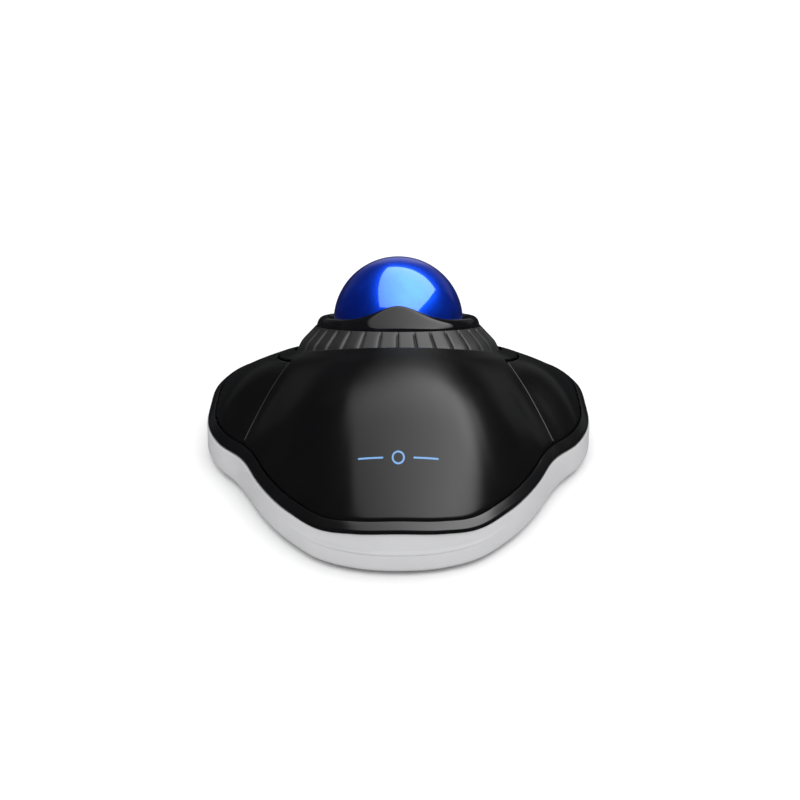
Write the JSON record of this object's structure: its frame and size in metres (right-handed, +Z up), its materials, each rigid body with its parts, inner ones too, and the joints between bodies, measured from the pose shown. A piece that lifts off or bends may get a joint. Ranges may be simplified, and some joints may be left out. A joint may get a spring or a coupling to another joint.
{
  "type": "trackball mouse",
  "caption": "Desktop trackball pointing device: blue ball in a gloss collar with a ribbed scroll ring, a domed palm rest, two wing buttons and a light grey base.",
  "frame": {"origin": "centre of the bounding box at desk level, under the object", "axes": "+X to the right of a user, +Y away from the user, +Z up; the palm rest is at -Y"},
  "size_m": [0.1172, 0.133, 0.058],
  "materials": {
    "light_grey_plastic": "light grey, fine matt texture",
    "rim_plastic": "satin black bead",
    "satin_black_plastic": "satin black",
    "gloss_black_plastic": "polished black",
    "grey_rubber": "dark grey, matt",
    "blue_ball": "polished pearlescent blue",
    "black_nylon": "moulded, matt",
    "ruby": "polished synthetic ruby",
    "clear_plastic": "clear polished plastic",
    "component_black": "moulded epoxy",
    "green_board": "solder mask over glass fibre",
    "white_plastic": "moulded nylon",
    "steel": "zinc plated",
    "steel_can": "bare aluminium can",
    "foot_rubber": "soft black rubber",
    "silver_paper": "blank silver polyester sticker"
  },
  "bodies": {
    "housing": {"ball_cup": "black_nylon", "base_screw_1": "steel", "base_screw_2": "steel", "base_screw_3": "steel", "base_screw_4": "steel", "base_shell": "light_grey_plastic", "board_screw_1": "steel", "board_screw_2": "steel", "cable_gland": "foot_rubber", "cable_header": "white_plastic", "capacitor": "steel_can", "chassis": "black_nylon", "collar": "gloss_black_plastic", "controller_chip": "component_black", "cup_screw_1": "steel", "cup_screw_2": "steel", "cup_screw_3": "steel", "foot_1": "foot_rubber", "foot_2": "foot_rubber", "foot_3": "foot_rubber", "foot_4": "foot_rubber", "left_switch": "component_black", "main_board": "green_board", "rating_label": "silver_paper", "right_switch": "component_black", "rim_trim": "rim_plastic", "scroll_sensor": "component_black", "sensor_chip": "component_black", "sensor_led": "clear_plastic", "sensor_lens": "clear_plastic", "support_ball_1": "ruby", "support_ball_2": "ruby", "support_ball_3": "ruby", "top_cover": "satin_black_plastic"},
    "ball": {"ball": "blue_ball"},
    "scroll_ring": {"scroll_ring": "grey_rubber", "encoder_ring": "component_black"},
    "left_button": {"left_button": "satin_black_plastic"},
    "right_button": {"right_button": "satin_black_plastic"},
    "left_plunger": {"left_switch_plunger": "white_plastic"},
    "right_plunger": {"right_switch_plunger": "white_plastic"}
  },
  "joints": [
    {"name": "ball_roll", "type": "hinge", "parent": "housing", "child": "ball", "pos_m": [0, 0.0224, 0.038], "axis": [1, 0, 0], "continuous": true},
    {"name": "scroll_ring_spin", "type": "hinge", "parent": "housing", "child": "scroll_ring", "pos_m": [0, 0.0224, 0.038], "axis": [0, 0.3502, 0.9367], "continuous": true},
    {"name": "left_button_press", "type": "hinge", "parent": "housing", "child": "left_button", "pos_m": [-0.025, 0.058, 0.015], "axis": [1, 0, 0], "range_deg": [0, 0.7], "stiffness_Nm_per_rad": 1.5, "springref_deg": -0.57},
    {"name": "right_button_press", "type": "hinge", "parent": "housing", "child": "right_button", "pos_m": [0.025, 0.058, 0.015], "axis": [1, 0, 0], "range_deg": [0, 0.7], "stiffness_Nm_per_rad": 1.5, "springref_deg": -0.57},
    {"name": "left_plunger_travel", "type": "slide", "parent": "housing", "child": "left_plunger", "axis": [0, 0, -1], "range_m": [0, 0.0006]},
    {"name": "right_plunger_travel", "type": "slide", "parent": "housing", "child": "right_plunger", "axis": [0, 0, -1], "range_m": [0, 0.0006]}
  ],
  "couplings": [
    {"joint": "left_plunger_travel", "follows": "left_button_press", "m_per_rad": 0.0474},
    {"joint": "right_plunger_travel", "follows": "right_button_press", "m_per_rad": 0.0474}
  ]
}
